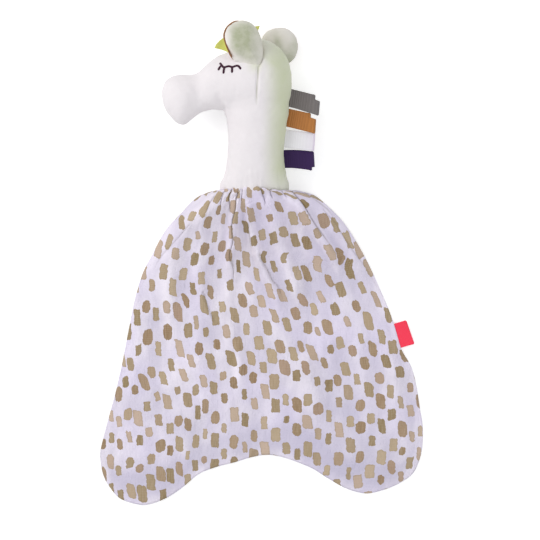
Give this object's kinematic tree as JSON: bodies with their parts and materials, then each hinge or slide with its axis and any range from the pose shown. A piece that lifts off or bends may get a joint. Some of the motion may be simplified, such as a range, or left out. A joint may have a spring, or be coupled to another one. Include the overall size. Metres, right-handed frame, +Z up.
{
  "type": "comfort blanket lovey",
  "caption": "Plush long-necked animal head with ears, felt forelock and ribbon loops, sewn to a gathered two-layer muslin comfort blanket with two rounded lobes.",
  "frame": {"origin": "on the blanket's flat underside, near the middle of the laid-out toy, where it rests on the table", "axes": "+Y from the blanket to the crown, +X to the side of the ribbon loops and the label, +Z up from the table"},
  "size_m": [0.213, 0.3207, 0.0465],
  "materials": {
    "velour": "matte",
    "ear_lining": "matte",
    "felt": "matte",
    "eye_thread": "matte",
    "ribbon_grey": "matte",
    "ribbon_ochre": "matte",
    "ribbon_white": "matte",
    "ribbon_aubergine": "matte",
    "muslin": "matte",
    "label": "matte"
  },
  "bodies": {
    "blanket": {"blanket_back": "muslin", "blanket_front": "muslin"},
    "label": {"side_label": "label"},
    "head_and_neck": {"head": "velour", "muzzle": "velour", "neck": "velour", "near_eye": "eye_thread", "far_eye": "eye_thread"},
    "near_ear": {"near_ear": "velour", "near_ear_lining": "ear_lining"},
    "far_ear": {"far_ear": "velour", "far_ear_lining": "ear_lining"},
    "forelock": {"felt_forelock": "felt"},
    "loop_grey": {"ribbon_grey": "ribbon_grey"},
    "loop_ochre": {"ribbon_ochre": "ribbon_ochre"},
    "loop_white": {"ribbon_white": "ribbon_white"},
    "loop_aubergine": {"ribbon_aubergine": "ribbon_aubergine"}
  },
  "joints": [
    {"name": "neck_bend", "type": "hinge", "parent": "blanket", "child": "head_and_neck", "pos_m": [-0.0043, 0.0485, 0.031], "axis": [1, 0, 0], "range_deg": [0, 60]},
    {"name": "near_ear_fold", "type": "hinge", "parent": "head_and_neck", "child": "near_ear", "pos_m": [-0.00921, 0.12919, 0.04345], "axis": [0.9863, 0.165, 0], "range_deg": [0, 70], "stiffness_Nm_per_rad": 0.004},
    {"name": "far_ear_fold", "type": "hinge", "parent": "head_and_neck", "child": "far_ear", "pos_m": [0.01136, 0.141, 0.01232], "axis": [0.8571, -0.5151, 0], "range_deg": [0, 40], "stiffness_Nm_per_rad": 0.004},
    {"name": "forelock_sway", "type": "hinge", "parent": "head_and_neck", "child": "forelock", "pos_m": [-0.016, 0.1445, 0.021], "axis": [0.9292, 0.3697, 0], "range_deg": [-25, 25], "stiffness_Nm_per_rad": 0.0005},
    {"name": "loop_grey_flap", "type": "hinge", "parent": "head_and_neck", "child": "loop_grey", "pos_m": [0.02013, 0.10859, 0.021], "axis": [-0.117, -0.9931, 0], "range_deg": [-40, 60], "stiffness_Nm_per_rad": 0.0005},
    {"name": "loop_ochre_flap", "type": "hinge", "parent": "head_and_neck", "child": "loop_ochre", "pos_m": [0.01863, 0.09555, 0.02045], "axis": [-0.1751, -0.9846, 0], "range_deg": [-40, 60], "stiffness_Nm_per_rad": 0.0005},
    {"name": "loop_white_flap", "type": "hinge", "parent": "head_and_neck", "child": "loop_white", "pos_m": [0.01649, 0.08196, 0.01895], "axis": [-0.088, -0.9961, 0], "range_deg": [-40, 60], "stiffness_Nm_per_rad": 0.0005},
    {"name": "loop_aubergine_flap", "type": "hinge", "parent": "head_and_neck", "child": "loop_aubergine", "pos_m": [0.01627, 0.06857, 0.0173], "axis": [0.055, -0.9985, 0], "range_deg": [-40, 60], "stiffness_Nm_per_rad": 0.0005},
    {"name": "label_flap", "type": "hinge", "parent": "blanket", "child": "label", "pos_m": [0.0906, -0.04817, 0.00125], "axis": [0.283, -0.9591, 0], "range_deg": [0, 90], "stiffness_Nm_per_rad": 0.0003}
  ]
}
